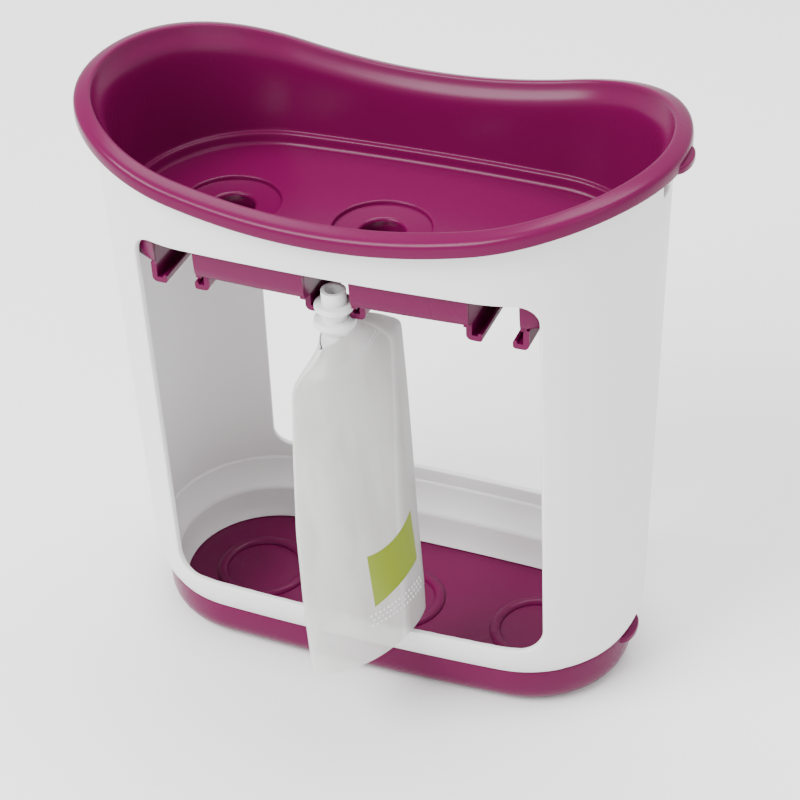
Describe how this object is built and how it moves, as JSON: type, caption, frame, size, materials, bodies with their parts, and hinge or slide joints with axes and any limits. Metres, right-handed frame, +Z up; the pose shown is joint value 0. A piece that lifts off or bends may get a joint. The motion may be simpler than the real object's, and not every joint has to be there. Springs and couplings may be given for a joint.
{
  "type": "food pouch filling station",
  "caption": "Flared white stand with open windows, carrying a deep tray with a saddle-shaped rim, press holes and rails that hold food pouches by their spouts.",
  "frame": {"origin": "centre of the station's footprint, on the worktop", "axes": "+X along the width to the right seen from the front, +Y to the rear, +Z up; pouches are hung from the front, -Y"},
  "size_m": [0.242, 0.1526, 0.2415],
  "materials": {
    "white_plastic": "satin moulded plastic",
    "magenta_plastic": "satin moulded plastic",
    "foot_rubber": "soft matt rubber",
    "spout_plastic": "milky polyethylene",
    "pouch_film": "frosted film"
  },
  "bodies": {
    "base_unit": {"base": "magenta_plastic", "foot_front_left": "foot_rubber", "foot_front_right": "foot_rubber", "foot_rear_left": "foot_rubber", "foot_rear_right": "foot_rubber"},
    "shell_unit": {"shell": "white_plastic"},
    "tray_unit": {"top_tray": "magenta_plastic", "spout_rail_left": "magenta_plastic", "spout_rail_middle": "magenta_plastic", "spout_rail_right": "magenta_plastic"},
    "pouch": {"pouch_spout": "spout_plastic", "pouch_film": "pouch_film"}
  },
  "joints": [
    {"name": "shell_lift", "type": "slide", "parent": "base_unit", "child": "shell_unit", "axis": [0, 0, 1], "range_m": [0, 0.03]},
    {"name": "tray_lift", "type": "slide", "parent": "shell_unit", "child": "tray_unit", "axis": [0, 0, 1], "range_m": [0, 0.008]},
    {"name": "pouch_slide", "type": "slide", "parent": "tray_unit", "child": "pouch", "axis": [0, 1, 0], "range_m": [-0.025, 0.0475]}
  ]
}
